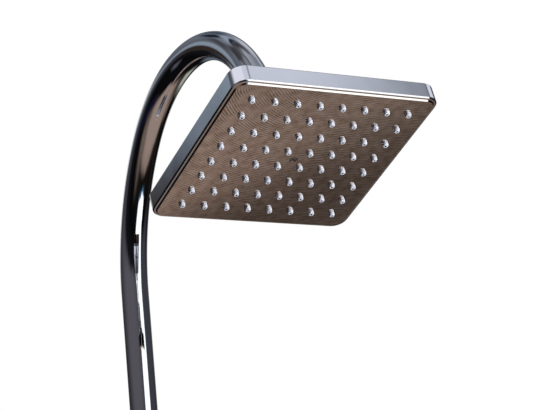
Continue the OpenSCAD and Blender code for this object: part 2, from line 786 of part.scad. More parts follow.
module head_shell() {
    color([0.78, 0.8, 0.84]) at_head() difference() {
        union() {
            difference() {
                union() {
                    translate([0, 0, bevel])
                        soft_block(head_w, head_r, shell_top - bevel, bevel, back_bevel);
                    translate([0, 0, shell_top - over])
                        soft_block(stage_w, stage_r, stage_h + over, 0, stage_h);
                }
                translate([0, 0, bevel - over])
                    soft_block(plate_w + 2 * seat, plate_r + seat, mat_top - bevel + over);
                translate([0, 0, mat_top - over])
                    soft_block(plate_w - 2 * ledge_w, plate_r - ledge_w, chamber_top - mat_top + over);
            }
            translate([0, 0, chamber_top]) cylinder(r = boss_r, h = boss_top - chamber_top);
            translate([0, 0, mat_top])
                cylinder(r = face_thread_d / 2 + pillar_wall, h = chamber_top - mat_top + over);
        }
        translate([0, 0, ball_h]) sphere(r = socket_ball_r);
        translate([0, 0, ball_h]) cylinder(r = socket_ball_r, h = boss_top - ball_h + over);
        translate([0, 0, mat_top - over])
            cylinder(r = face_thread_d / 2 + run, h = thread_top - mat_top + over);
        for (a = [0 : 60 : 300])
            rotate([0, 0, a]) translate([feed_at, 0, chamber_top - over])
                cylinder(r = feed_hole_r, h = ball_h - ball_r / 2 - chamber_top);
    }
}

module face_plate() {
    color([0.62, 0.55, 0.5]) at_head() difference() {
        soft_block(plate_w, plate_r, plate_t, bevel, 0);
        at_nozzles() translate([0, 0, -over])
            cylinder(r = nozzle_d / 2 + seat, h = plate_t + 2 * over, $fn = 32);
        translate([0, 0, -over]) cylinder(r = face_screw_d / 2 + seat, h = plate_t / 2 + over, $fn = 32);
        translate([0, 0, -over]) cylinder(r = face_thread_d / 2 + seat, h = plate_t + 2 * over, $fn = 32);
    }
}

module nozzle_mat() {
    r = nozzle_d / 2;
    color("white") at_head() difference() {
        union() {
            translate([0, 0, plate_t]) soft_block(plate_w, plate_r, mat_t);
            at_nozzles() rotate_extrude($fn = 32)
                polygon([[0, -nozzle_out], [r * 0.7, -nozzle_out], [r * 0.86, 0.16 * r - nozzle_out],
                         [r * 0.95, 0.4 * r - nozzle_out], [r, 0], [r, mat_top], [0, mat_top]]);
        }
        at_nozzles() rotate_extrude($fn = 24)
            polygon([[0, -nozzle_out - over], [jet_d / 2, -nozzle_out - over], [jet_d / 2, -nozzle_out / 2],
                     [jet_d, plate_t], [jet_d, mat_top + over], [0, mat_top + over]]);
        translate([0, 0, plate_t - over]) cylinder(r = face_thread_d / 2 + seat, h = mat_t + 2 * over);
    }
}

module centre_screw() {
    depth = plate_t / 2;
    color("gray") at_head() difference() {
        union() {
            translate([0, 0, depth / 5]) soft_disc(face_screw_d / 2, depth * 0.8, depth / 4, 0);
            translate([0, 0, depth]) cylinder(d = face_thread_d, h = thread_top - depth - screw_end);
        }
        rotate([0, 0, 35]) translate([-face_screw_d, -face_screw_d / 14, 0])
            cube([2 * face_screw_d, face_screw_d / 7, depth * 0.6]);
    }
}

module mixer_body() {
    color("darkgoldenrod") difference() {
        at_front(mixer_z) union() {
            translate([0, 0, -mixer_in]) cylinder(r = mixer_r, h = mixer_in + barrel_front);
            translate([0, 0, seal_t]) cylinder(r = mixer_r + mixer_rim, h = mixer_rim_t);
        }
        at_front(mixer_z) {
            translate([0, 0, cart_floor])
                cylinder(r = cart_r + seat, h = barrel_front - cart_floor + over);
            translate([0, 0, cart_front])
                cylinder(r = cart_r + cart_step, h = barrel_front - cart_front + over);
        }
        for (angle = [0, 90, 180]) {
            at_port(angle) translate([0, 0, nipple_in]) cylinder(r = nipple_r + seat, h = mixer_r);
            at_port(angle) translate([0, 0, way_out - way_r - way_over])
                cylinder(r = tube_bore / 2, h = mixer_r);
            at_front(mixer_z) rotate([0, 0, angle]) translate([way_out, 0, port_u])
                cylinder(r = way_r, h = -port_u);
        }
    }
}

module mixer_gasket() {
    color([0.2, 0.2, 0.2]) at_front(mixer_z) ring(mixer_r + mixer_rim, mixer_r + seat, seal_t);
}

module mixer_locknut() {
    color("darkgoldenrod") at_front(mixer_z) translate([0, 0, -tank_wall - nut_h])
        hex_nut(mixer_r + nut_rim, mixer_r + seat, nut_h);
}

module mixer_nipples() {
    color("darkgoldenrod") for (angle = [0, 90, 180]) at_port(angle) difference() {
        union() {
            translate([0, 0, nipple_in]) cylinder(r = nipple_r, h = port_reach - nipple_in);
            translate([0, 0, mixer_r]) cylinder(r = nipple_r + nipple_hex, h = nipple_hex_t, $fn = 6);
        }
        translate([0, 0, nipple_in - over]) cylinder(r = tube_bore / 2, h = port_reach);
        translate([0, 0, port_reach - tube_seat]) cylinder(r = tube_r + seat, h = tube_seat + over);
    }
}

module mixer_plate() {
    color([0.8, 0.81, 0.84]) at_front(mixer_z) difference() {
        soft_block(rose_w, rose_r, rose_t, 0, edge_bevel);
        translate([0, 0, -over]) cylinder(r = mixer_r + seat, h = rose_t + 2 * over);
        translate([0, 0, -over])
            cylinder(r = mixer_r + mixer_rim + gap, h = seal_t + mixer_rim_t + seat + over);
    }
}

module mixer_collar() {
    inner = dome_r - dome_wall;
    opening = dome_r * sin(lift_angle + collar_room);
    color([0.8, 0.81, 0.84]) at_front(mixer_z) difference() {
        union() {
            translate([0, 0, rose_t]) cylinder(r = dome_r, h = pivot_u - rose_t);
            translate([0, 0, pivot_u]) intersection() {
                sphere(r = dome_r);
                cylinder(r = dome_r + over, h = dome_r + over);
            }
        }
        translate([0, 0, rose_t + collar_step]) cylinder(r = inner, h = pivot_u - rose_t - collar_step);
        translate([0, 0, rose_t - over]) cylinder(r = mixer_r + seat, h = pivot_u - rose_t);
        translate([0, 0, pivot_u]) sphere(r = inner);
        translate([0, 0, pivot_u]) cylinder(r = opening, h = dome_r + over);
    }
}

module cartridge() {
    color("whitesmoke") at_front(mixer_z) difference() {
        translate([0, 0, cart_floor]) cylinder(r = cart_r, h = cart_front - cart_floor);
        translate([0, 0, cart_floor + cart_base])
            cylinder(r = cart_r - cart_wall, h = cart_front - cart_lid - cart_floor - cart_base);
        translate([0, 0, cart_floor + cart_base]) cylinder(r = stem_ball_r + cart_neck, h = cart_front);
        for (angle = [0, 90, 180])
            rotate([0, 0, angle]) translate([way_out, 0, cart_floor - over])
                cylinder(r = way_r, h = cart_base + 2 * over);
    }
}

module cartridge_nut() {
    color("darkgoldenrod") at_front(mixer_z) translate([0, 0, cart_front])
        ring(cart_r + cart_step - seat, stem_ball_r + cart_nut_room, barrel_front - cart_front);
}

module cartridge_disc() {
    low = cart_floor + cart_base + gap;
    color("white") at_front(mixer_z) translate([0, 0, low])
        cylinder(r = cart_r - cart_wall - gap, h = pivot_u - stem_ball_r - gap - low);
}

module lever_stem() {
    color("silver") at_front(mixer_z) translate([0, 0, pivot_u]) difference() {
        union() {
            sphere(r = stem_ball_r);
            cylinder(r = stem_r, h = hub_in + hub_web);
        }
        translate([0, 0, hub_in - lever_screw_l - screw_room])
            cylinder(r = stem_r / 2 + run, h = lever_screw_l + screw_room + hub_web + over);
    }
}

module mixer_lever() {
    web = hub_in + hub_web;
    color([0.8, 0.81, 0.84]) at_front(mixer_z) translate([0, 0, pivot_u]) {
        difference() {
            union() {
                intersection() {
                    sphere(r = hub_out);
                    translate([0, 0, hub_cut]) cylinder(r = hub_out + over, h = hub_out);
                }
                rotate([lever_out, 0, 0]) grip();
            }
            sphere(r = hub_in);
            cylinder(r = stem_r + run, h = web + run);
            cylinder(r = stem_r / 2 + seat, h = hub_out);
            translate([0, 0, web + hub_web]) cylinder(r = stem_r + cap_rim, h = hub_out);
        }
    }
}

// Flat grip along +Z, tapering to a round end
module grip() {
    tip_u = hub_out + lever_l - lever_tip_r;
    translate([0, lever_t / 2, 0]) rotate([90, 0, 0]) linear_extrude(lever_t) {
        polygon([[-lever_w / 2, hub_in + grip_in], [lever_w / 2, hub_in + grip_in],
                 [lever_tip_r, tip_u], [-lever_tip_r, tip_u]]);
        translate([0, tip_u]) circle(r = lever_tip_r);
    }
}

module lever_screw() {
    web = hub_in + 2 * hub_web;
    color("gray") at_front(mixer_z) translate([0, 0, pivot_u]) difference() {
        union() {
            translate([0, 0, web]) cylinder(r = stem_r - screw_rim, h = hub_web);
            translate([0, 0, hub_in - lever_screw_l])
                cylinder(r = stem_r / 2, h = web - hub_in + lever_screw_l + over);
        }
        translate([0, 0, web + hub_web / 2]) cylinder(r = key_r, h = hub_web, $fn = 6);
    }
}

module lever_cap() {
    web = hub_in + 2 * hub_web;
    color([0.15, 0.25, 0.6]) at_front(mixer_z) translate([0, 0, pivot_u + web]) difference() {
        cylinder(r = stem_r + cap_rim - seat, h = hub_wall - 2 * hub_web);
        translate([0, 0, -over]) cylinder(r = stem_r + screw_rim, h = hub_web + seat + over);
    }
}

// Pipe that climbs from low to high: straight, two bends with a slope between, straight
module jog_pipe(low, high, z_low, z_jog, z_high) {
    bore_r = tube_bore / 2;
    turn = high - low;
    offset = norm(turn);
    slope = jog_run(offset);
    bend_x = tube_bend * (1 - cos(jog_angle));
    bend_z = tube_bend * sin(jog_angle);
    end_z = bend_z + slope * cos(jog_angle);
    translate([low.x, low.y, z_jog]) rotate([0, 0, atan2(turn.y, turn.x)]) {
        translate([0, 0, z_low - z_jog]) pipe_run(tube_r, bore_r, z_jog - z_low);
        translate([tube_bend, 0, 0]) rotate([90, 0, 0]) rotate([0, 0, 180 - jog_angle])
            pipe_bend(tube_r, bore_r, tube_bend, jog_angle);
        translate([bend_x, 0, bend_z]) rotate([0, jog_angle, 0]) pipe_run(tube_r, bore_r, slope);
        translate([offset - tube_bend, 0, end_z + bend_z]) rotate([90, 0, 0]) rotate([0, 0, -jog_angle])
            pipe_bend(tube_r, bore_r, tube_bend, jog_angle);
        translate([offset, 0, end_z + bend_z]) pipe_run(tube_r, bore_r, z_high - z_jog - end_z - bend_z);
    }
}

// Quarter bend beside the mixer, then straight into its port, on the side given by sign
module elbow_pipe(sign) {
    turn = sign > 0 ? 0 : 180;
    bore_r = tube_bore / 2;
    translate([sign * port_reach, port_y, mixer_z - sign * tube_bend]) rotate([90, 0, 0])
        rotate([0, 0, turn])
        pipe_bend(tube_r, bore_r, tube_bend, 90);
    translate([sign * (port_reach - tube_in), port_y, mixer_z]) rotate([0, sign * 90, 0])
        pipe_run(tube_r, bore_r, tube_in);
}

module cold_pipe() {
    color([0.25, 0.4, 0.65]) {
        jog_pipe([0, cold_y], [elbow_x, port_y], branch_top - tube_in, cold_jog_z, mixer_z - tube_bend);
        elbow_pipe(1);
    }
}

module hot_pipe() {
    low = mixer_z + tube_bend;
    color([0.7, 0.3, 0.25]) {
        translate([-elbow_x, port_y, low])
            pipe_run(tube_r, tube_bore / 2, tank_top - end_wall - hot_room - low);
        elbow_pipe(-1);
    }
}

module mixed_pipe() {
    color("whitesmoke")
        jog_pipe([0, port_y], [0, 0], mixer_z + port_reach - tube_in, mixed_jog_z,
                 tank_top - socket_down + tube_in);
}

module cold_gland() {
    neck_r = tube_r + gland_wall;
    color([0.2, 0.2, 0.2]) translate([0, cold_y, floor_z - gland_t]) difference() {
        union() {
            cylinder(r = neck_r, h = end_wall + 2 * gland_t);
            cylinder(r = neck_r + gland_rim, h = gland_t);
            translate([0, 0, end_wall + gland_t]) cylinder(r = neck_r + gland_rim, h = gland_t);
        }
        translate([0, 0, -over]) cylinder(r = tube_r + seat, h = end_wall + 2 * gland_t + 2 * over);
    }
}

module manifold() {
    branch_h = branch_top - service_z;
    color("darkgoldenrod") translate([0, 0, service_z]) difference() {
        union() {
            translate([0, manifold_half, 0]) rotate([90, 0, 0])
                cylinder(r = manifold_r, h = 2 * manifold_half);
            for (y = [cold_y, feed_y])
                translate([0, y, 0]) cylinder(r = branch_r, h = branch_h);
        }
        translate([0, manifold_half + over, 0]) rotate([90, 0, 0])
            cylinder(r = manifold_bore_r, h = 2 * (manifold_half + over));
        for (side = [-1, 1])
            translate([0, side * (manifold_half + over), 0]) rotate([side * 90, 0, 0])
                cylinder(r = wall_r + seat, h = spigot_seat + over);
        translate([0, cold_y, 0]) cylinder(r = tube_bore / 2, h = branch_h + over);
        translate([0, cold_y, branch_h - tube_seat]) cylinder(r = tube_r + seat, h = tube_seat + over);
        translate([0, feed_y, 0]) cylinder(r = feed_bore_r, h = branch_h + over);
        translate([0, feed_y, branch_h - tube_seat])
            cylinder(r = feed_pipe_r + seat, h = tube_seat + over);
    }
}

module inlet_fitting() {
    color([0.7, 0.71, 0.74]) at_back(service_z) difference() {
        union() {
            translate([0, 0, -wall_in]) cylinder(r = wall_r, h = wall_in + seal_t);
            translate([0, 0, seal_t]) cylinder(r = wall_r + inlet_rim, h = inlet_hex_t, $fn = 6);
            translate([0, 0, seal_t + inlet_hex_t]) cylinder(d = hose_thread_d, h = hose_thread_l);
        }
        translate([0, 0, -wall_in - over])
            cylinder(r = manifold_bore_r, h = wall_in + seal_t + inlet_hex_t + hose_thread_l + 2 * over);
    }
}

module wall_seals() {
    color([0.2, 0.2, 0.2]) {
        at_back(service_z) ring(wall_r + seal_rim, wall_r + seat, seal_t);
        at_front(service_z) ring(wall_r + seal_rim, wall_r + seat, seal_t);
    }
}

module wall_locknuts() {
    color("darkgoldenrod") {
        at_back(service_z) translate([0, 0, -tank_wall - nut_h])
            hex_nut(wall_r + wall_nut_rim, wall_r + seat, nut_h);
        at_front(service_z) translate([0, 0, -tank_wall - nut_h])
            hex_nut(wall_r + wall_nut_rim, wall_r + seat, nut_h);
    }
}

module hose_adapter() {
    start = seal_t + inlet_hex_t + adapter_start;
    color([0.2, 0.2, 0.21]) at_back(service_z) difference() {
        union() {
            translate([0, 0, start]) soft_disc(hose_thread_d / 2 + adapter_wall, adapter_l, 1, 1);
            translate([0, 0, start + adapter_l - 1])
                soft_disc(hose_spigot_d / 2, adapter_spigot_l + 1, 0, 1);
        }
        translate([0, 0, start - over])
            cylinder(r = hose_thread_d / 2 + seat, h = adapter_l - adapter_end + seat + over);
        translate([0, 0, start]) cylinder(r = adapter_bore_r, h = adapter_l + adapter_spigot_l + over);
    }
}

module check_body() {
    color("darkgoldenrod") translate([0, feed_y, 0]) difference() {
        union() {
            translate([0, 0, branch_top - tube_in])
                cylinder(r = feed_pipe_r, h = tube_in + check_up + over);
            translate([0, 0, check_low]) soft_disc(check_r, check_top - check_low, 1, 1);
            translate([0, 0, check_top - over])
                cylinder(r = feed_r, h = floor_z + end_wall + feed_up - check_top + over);
            translate([0, 0, check_top - over])
                cylinder(r = feed_r + feed_step, h = floor_z - check_top + over);
        }
        translate([0, 0, branch_top - tube_seat]) cylinder(r = feed_bore_r, h = floor_z);
        translate([0, 0, cavity_low]) cylinder(r = check_cavity_r, h = cavity_top - cavity_low);
    }
}

module check_poppet() {
    color("whitesmoke") translate([0, feed_y, poppet_z]) {
        cylinder(r = check_cavity_r - poppet_room, h = poppet_h);
        cylinder(r = poppet_stem_r, h = cavity_top - poppet_z - poppet_lift - 2 * gap);
    }
}

// Round wire wound as a helix, as one closed sweep of six sides
module check_spring() {
    low = poppet_z + poppet_h + spring_wire / 2;
    high = cavity_top - spring_wire / 2;
    coil_r = check_cavity_r - spring_in;
    steps = coil_steps * spring_turns;
    rings = [for (i = [0 : steps]) let (a = 360 * i / coil_steps, z = low + (high - low) * i / steps)
        [for (k = [0 : 5]) let (t = 60 * k, r = coil_r + spring_wire / 2 * cos(t))
            [r * cos(a), r * sin(a), z + spring_wire / 2 * sin(t)]]];
    points = [for (loop = rings) each loop];
    sides = [for (i = [0 : steps - 1], k = [0 : 5]) let (a = 6 * i + k, b = 6 * i + (k + 1) % 6)
        each [[a, a + 6, b], [b, a + 6, b + 6]]];
    last = 6 * steps;
    ends = [for (k = [1 : 4]) each [[0, k, k + 1], [last, last + k + 1, last + k]]];
    color("silver") translate([0, feed_y, 0]) polyhedron(points, concat(sides, ends));
}

module feed_nut() {
    color("darkgoldenrod") translate([0, feed_y, floor_z + end_wall])
        hex_nut(feed_r + feed_nut_rim, feed_r + seat, nut_h);
}

module drain_plug() {
    color([0.2, 0.2, 0.21]) at_back(drain_z) difference() {
        union() {
            translate([0, 0, seal_t]) soft_disc(drain_r + drain_rim, drain_head_t, 0, 1);
            translate([0, 0, -tank_wall - drain_boss_l])
                cylinder(r = drain_r, h = tank_wall + drain_boss_l + seal_t + over);
        }
        translate([0, 0, seal_t + drain_head_t / 2]) cylinder(r = drain_key_r, h = drain_head_t, $fn = 6);
    }
}

module drain_seal() {
    color([0.12, 0.12, 0.12]) at_back(drain_z) ring(drain_r + seal_rim, drain_r + seat, seal_t);
}

module tap_body() {
    spout_u = seal_t + spout_at;
    color([0.8, 0.81, 0.84]) at_front(service_z) difference() {
        union() {
            translate([0, 0, -wall_in]) cylinder(r = wall_r, h = wall_in + seal_t + over);
            translate([0, 0, seal_t]) soft_disc(barrel_d / 2, barrel_l, 0, 1);
            translate([0, 0, spout_u]) rotate([90, 0, 0])
                cylinder(d = spout_d - spout_step, h = spout_drop);
            translate([0, 0, spout_u]) rotate([90, 0, 0]) translate([0, 0, spout_drop - spout_thread_l])
                cylinder(d = spout_d, h = spout_thread_l);
        }
        translate([0, 0, -wall_in - over]) cylinder(r = manifold_bore_r, h = wall_in + seal_t + barrel_l);
        translate([0, 0, seal_t + barrel_cavity]) cylinder(r = barrel_d / 2 - barrel_wall, h = barrel_l);
        translate([0, 0, spout_u]) rotate([90, 0, 0]) cylinder(r = spout_bore_r, h = spout_drop + over);
    }
}

module tap_rosette() {
    color([0.8, 0.81, 0.84]) at_front(service_z) difference() {
        soft_disc(barrel_d / 2 + rosette_rim, rosette_t, 0, edge_bevel);
        translate([0, 0, -over]) cylinder(r = barrel_d / 2 + seat, h = rosette_t + 2 * over);
    }
}

module tap_spindle() {
    valve = seal_t + barrel_cavity + gap;
    color("darkgoldenrod") at_front(service_z) difference() {
        union() {
            translate([0, 0, valve]) cylinder(r = barrel_d / 2 - barrel_wall - gap, h = valve_t);
            translate([0, 0, valve]) cylinder(r = stem_r, h = knob_u + knob_hub - valve);
        }
        translate([0, 0, knob_u + knob_hub - knob_screw_l])
            cylinder(r = stem_r / 2 + run, h = knob_screw_l + over);
    }
}

module tap_bonnet() {
    low = seal_t + barrel_l - bonnet_in;
    color([0.7, 0.71, 0.74]) at_front(service_z) difference() {
        union() {
            translate([0, 0, low]) cylinder(r = barrel_d / 2 - barrel_wall - seat, h = bonnet_in);
            translate([0, 0, seal_t + barrel_l])
                cylinder(r = barrel_d / 2 - bonnet_edge, h = bonnet_hex_t, $fn = 6);
        }
        translate([0, 0, low - over]) cylinder(r = stem_r + run, h = bonnet_in + bonnet_hex_t + 2 * over);
    }
}

module tap_handle() {
    color([0.8, 0.81, 0.84]) at_front(service_z) translate([0, 0, knob_u]) difference() {
        soft_disc(knob_d / 2, knob_l, 1, 2);
        for (a = [0 : 60 : 300])
            rotate([0, 0, a]) translate([knob_d / 2 + scallop_at, 0, -over])
                cylinder(r = scallop_r, h = knob_l + 2 * over);
        translate([0, 0, -over]) cylinder(r = stem_r + run, h = knob_hub + over);
        cylinder(r = stem_r / 2 + seat, h = knob_l);
        translate([0, 0, knob_hub + knob_web]) cylinder(r = stem_r + knob_screw_rim, h = knob_l);
    }
}

module tap_screw() {
    web = knob_hub + knob_web;
    color("gray") at_front(service_z) translate([0, 0, knob_u]) difference() {
        union() {
            translate([0, 0, web]) cylinder(r = stem_r, h = knob_screw_t);
            translate([0, 0, web - knob_screw_l]) cylinder(r = stem_r / 2, h = knob_screw_l + over);
        }
        translate([0, 0, web + knob_screw_t / 2]) cylinder(r = key_r, h = knob_screw_t, $fn = 6);
    }
}

base_plate();
base_screws();
tank_lower();
tank_upper();
seam_band();
seam_seal();
top_cap();
neck_socket();
neck_gasket();
neck_locknut();
neck_seals();
neck_nut();
neck_collar();
neck_pipe();
neck_bush();
ball_stud();
filter_screen();
ball_nut();
ball_ring();
ball_seat();
ball_seal();
head_shell();
face_plate();
nozzle_mat();
centre_screw();
mixer_body();
mixer_gasket();
mixer_locknut();
mixer_nipples();
mixer_plate();
mixer_collar();
cartridge();
cartridge_nut();
cartridge_disc();
lever_stem();
mixer_lever();
lever_screw();
lever_cap();
cold_pipe();
hot_pipe();
mixed_pipe();
cold_gland();
manifold();
inlet_fitting();
wall_seals();
wall_locknuts();
hose_adapter();
check_body();
check_poppet();
check_spring();
feed_nut();
drain_plug();
drain_seal();
tap_body();
tap_rosette();
tap_spindle();
tap_bonnet();
tap_handle();
tap_screw();
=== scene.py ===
import json
import math
import bmesh
import bpy
import numpy as np
from mathutils import Matrix, Vector


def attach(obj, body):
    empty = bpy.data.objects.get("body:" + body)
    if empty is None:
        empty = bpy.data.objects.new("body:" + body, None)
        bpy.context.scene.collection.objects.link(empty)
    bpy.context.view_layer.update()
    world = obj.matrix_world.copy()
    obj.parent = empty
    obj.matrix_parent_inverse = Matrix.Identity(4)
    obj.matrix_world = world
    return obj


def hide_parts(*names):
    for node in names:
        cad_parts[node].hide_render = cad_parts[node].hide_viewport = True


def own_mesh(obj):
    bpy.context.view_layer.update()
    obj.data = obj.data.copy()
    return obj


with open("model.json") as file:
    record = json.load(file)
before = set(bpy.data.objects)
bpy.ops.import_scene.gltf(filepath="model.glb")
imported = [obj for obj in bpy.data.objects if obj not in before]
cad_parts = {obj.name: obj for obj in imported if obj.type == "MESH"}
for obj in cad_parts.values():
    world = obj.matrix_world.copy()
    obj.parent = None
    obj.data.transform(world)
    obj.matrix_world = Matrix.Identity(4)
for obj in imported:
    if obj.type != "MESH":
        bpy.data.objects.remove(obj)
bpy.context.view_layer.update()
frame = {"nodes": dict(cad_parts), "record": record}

# Solar outdoor shower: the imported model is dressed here, seen from below its square rain head.

scene = bpy.context.scene
scene.view_settings.view_transform = "Standard"


def linear(hexColour):
    # sRGB to linear: below 0.04045 a straight line, above it the 2.4 power
    parts = [int(hexColour[i:i + 2], 16) / 255 for i in (1, 3, 5)]
    return tuple(c / 12.92 if c <= 0.04045 else ((c + 0.055) / 1.055) ** 2.4 for c in parts) + (1.0,)


def addNode(tree, kind, settings=None, inputs=None):
    # one node with its settings and links: an input is a number, a colour or another node's output, and the
    # setting named stops holds a ramp's places and colours
    made = tree.nodes.new(kind)
    for name, value in (settings or {}).items():
        if name == "stops":
            points = made.color_ramp.elements
            while len(points) < len(value):
                points.new(0.5)
            for point, (place, colour) in zip(points, value):
                point.position = place
                point.color = linear(colour)
        else:
            setattr(made, name, value)
    for name, value in (inputs or {}).items():
        if isinstance(value, bpy.types.NodeSocket):
            tree.links.new(value, made.inputs[name])
        else:
            made.inputs[name].default_value = value
    return made


def addMaterial(name, sockets):
    # a Principled material; sockets holds the plain numbers and colours
    made = bpy.data.materials.new(name)
    made.use_nodes = True
    shader = made.node_tree.nodes["Principled BSDF"]
    for socket, value in sockets.items():
        shader.inputs[socket].default_value = value
    return made, made.node_tree, shader


# Camera: where the 8 by 8 nozzle grid, the neck and the head's side put it
camera = {"lens": 127.37, "sensor": 36.0, "place": (-0.6174, -1.3440, 1.6241),
          "right": (0.88376, -0.45865, -0.09277), "up": (-0.05722, -0.30269, 0.95137)}
cameraData = bpy.data.cameras.new("photoCamera")
cameraData.lens = camera["lens"]
cameraData.sensor_width = camera["sensor"]
cameraObject = bpy.data.objects.new("photoCamera", cameraData)
scene.collection.objects.link(cameraObject)
right = Vector(camera["right"]).normalized()
back = right.cross(Vector(camera["up"])).normalized()
turned = Matrix([right, back.cross(right), back]).transposed().to_4x4()
cameraObject.matrix_world = Matrix.Translation(camera["place"]) @ turned
scene.camera = cameraObject
print("camera set")


# Finishes. Sizes are metres, as the coordinates are, so a noise's scale is 1 / the width of its blots.

def makeChrome():
    # brass, buffed and nickel-chrome plated: a cold mirror with a faint swell of 17 mm left by the buffing
    # wheel, smears 40 mm wide and edges rounded by 0.5 mm of buffing
    look = {"swellWide": 0.01667, "swell": 0.03, "swellHeight": 0.002, "smearWide": 0.04,
            "smears": (0.35, 0.7), "rough": (0.02, 0.05), "edge": 0.0005}
    made, tree, shader = addMaterial("platedChrome", {"Base Color": linear("#E6E7EA"), "Metallic": 1.0})
    coordinates = addNode(tree, "ShaderNodeTexCoord").outputs["Object"]
    smear = addNode(tree, "ShaderNodeTexNoise", None,
                    {"Vector": coordinates, "Scale": 1 / look["smearWide"], "Detail": 4.0})
    rough = addNode(tree, "ShaderNodeMapRange", None,
                    {"Value": smear.outputs["Fac"], "From Min": look["smears"][0],
                     "From Max": look["smears"][1], "To Min": look["rough"][0], "To Max": look["rough"][1]})
    tree.links.new(rough.outputs["Result"], shader.inputs["Roughness"])
    swell = addNode(tree, "ShaderNodeTexNoise", None,
                    {"Vector": coordinates, "Scale": 1 / look["swellWide"], "Detail": 1.0})
    edge = addNode(tree, "ShaderNodeBevel", {"samples": 6}, {"Radius": look["edge"]})
    bump = addNode(tree, "ShaderNodeBump", None,
                   {"Height": swell.outputs["Fac"], "Strength": look["swell"],
                    "Distance": look["swellHeight"], "Normal": edge.outputs["Normal"]})
    tree.links.new(bump.outputs["Normal"], shader.inputs["Normal"])
    return made


def makeFaceSteel():
    # thin stainless sheet, mirror polished and pressed slightly round: its middle stands 2 mm out of its
    # edges. Fine lines 1.8 mm apart, a painted reflection of a deck's grain, run straight across and bend
    # round on the left, as contours of the distance from a point 110 mm off: they are laid into the base
    # colour as brownish dark to white, and also as faint grooves. Noises 62 and 6 mm wide make them wander,
    # and they fade and return in patches 13 mm wide. Only the flat face has them, not its bevel.
    look = {"tilt": math.radians(17), "middle": (0.0, 0.2746, -2.034), "half": 0.0763, "crown": 0.002,
            "pitch": 0.0018, "bendAt": -0.005, "away": 0.11, "drift": 0.006, "driftWide": 0.0625,
            "jitter": 0.0024, "fineWide": 0.00625, "depth": (1.15, -0.36), "patchWide": 0.01333,
            "line": 0.00001, "bevel": "#F4EFEB", "flatEnough": (0.9, 0.98),
            "shades": [(0.1, "#A3968C"), (0.5, "#E4DBD5"), (0.9, "#FFFFFF")]}
    made, tree, shader = addMaterial("polishedSteelWithPaintedReflection", {"Metallic": 1.0, "Roughness": 0.07})
    coordinates = addNode(tree, "ShaderNodeTexCoord")
    centred = addNode(tree, "ShaderNodeVectorMath", {"operation": "ADD"},
                      {0: coordinates.outputs["Object"], 1: look["middle"]}).outputs["Vector"]
    flat = addNode(tree, "ShaderNodeMapping", None,
                   {"Vector": centred, "Rotation": (look["tilt"], 0.0, 0.0)}).outputs["Vector"]
    split = addNode(tree, "ShaderNodeSeparateXYZ", None, {"Vector": flat})
    drift = addNode(tree, "ShaderNodeTexNoise", None,
                    {"Vector": flat, "Scale": 1 / look["driftWide"], "Detail": 1.5, "Roughness": 0.4})
    fine = addNode(tree, "ShaderNodeTexNoise", None,
                   {"Vector": flat, "Scale": 1 / look["fineWide"], "Detail": 3.0})
    patchy = addNode(tree, "ShaderNodeTexNoise", None,
                     {"Vector": flat, "Scale": 1 / look["patchWide"], "Detail": 2.0})
    known = {"x": split.outputs["X"], "y": split.outputs["Y"], "drift": drift.outputs["Fac"],
             "fine": fine.outputs["Fac"], "patchy": patchy.outputs["Fac"]}
    # each step is its result's name, the operation and what goes into it
    steps = [("left", "MINIMUM", "x", look["bendAt"]), ("side", "SUBTRACT", "left", look["bendAt"]),
             ("back", "ADD", "y", look["away"]), ("backSquared", "MULTIPLY", "back", "back"),
             ("distanceSquared", "MULTIPLY_ADD", "side", "side", "backSquared"),
             ("distance", "SQRT", "distanceSquared"),
             ("drifted", "MULTIPLY_ADD", "drift", look["drift"], "distance"),
             ("wandered", "MULTIPLY_ADD", "fine", look["jitter"], "drifted"),
             ("phase", "MULTIPLY", "wandered", 2 * math.pi / look["pitch"]), ("wave", "SINE", "phase"),
             ("depth", "MULTIPLY_ADD", "patchy", *look["depth"]),
             ("lines", "MULTIPLY_ADD", "wave", "depth", "fine"),
             ("groove", "MULTIPLY", "lines", look["line"]),
             # the crown is (1 - across squared) (1 - along squared) times its height
             ("across", "DIVIDE", "x", look["half"]), ("acrossSquared", "MULTIPLY", "across", "across"),
             ("along", "DIVIDE", "y", look["half"]), ("alongSquared", "MULTIPLY", "along", "along"),
             ("fromSide", "SUBTRACT", 1.0, "acrossSquared"), ("fromEnd", "SUBTRACT", 1.0, "alongSquared"),
             ("swell", "MULTIPLY", "fromSide", "fromEnd"),
             ("height", "MULTIPLY_ADD", "swell", look["crown"], "groove")]
    for result, operation, *values in steps:
        inputs = {place: known.get(value, value) for place, value in enumerate(values)}
        known[result] = addNode(tree, "ShaderNodeMath", {"operation": operation}, inputs).outputs[0]
    # painted reflection of a deck's grain: the lines turn the base colour from brownish dark to white
    colour = addNode(tree, "ShaderNodeValToRGB", {"stops": look["shades"]}, {"Fac": known["lines"]})
    outwards = (0.0, -math.sin(look["tilt"]), -math.cos(look["tilt"]))
    facing = addNode(tree, "ShaderNodeVectorMath", {"operation": "DOT_PRODUCT"},
                     {0: coordinates.outputs["Normal"], 1: outwards})
    onFace = addNode(tree, "ShaderNodeMapRange", None,
                     {"Value": facing.outputs["Value"], "From Min": look["flatEnough"][0],
                      "From Max": look["flatEnough"][1]}).outputs["Result"]
    lined = addNode(tree, "ShaderNodeMix", {"data_type": "RGBA"},
                    {0: onFace, 6: linear(look["bevel"]), 7: colour.outputs["Color"]})
    tree.links.new(lined.outputs[2], shader.inputs["Base Color"])
    bump = addNode(tree, "ShaderNodeBump", None,
                   {"Height": known["height"], "Distance": 1.0, "Strength": onFace})
    tree.links.new(bump.outputs["Normal"], shader.inputs["Normal"])
    return made


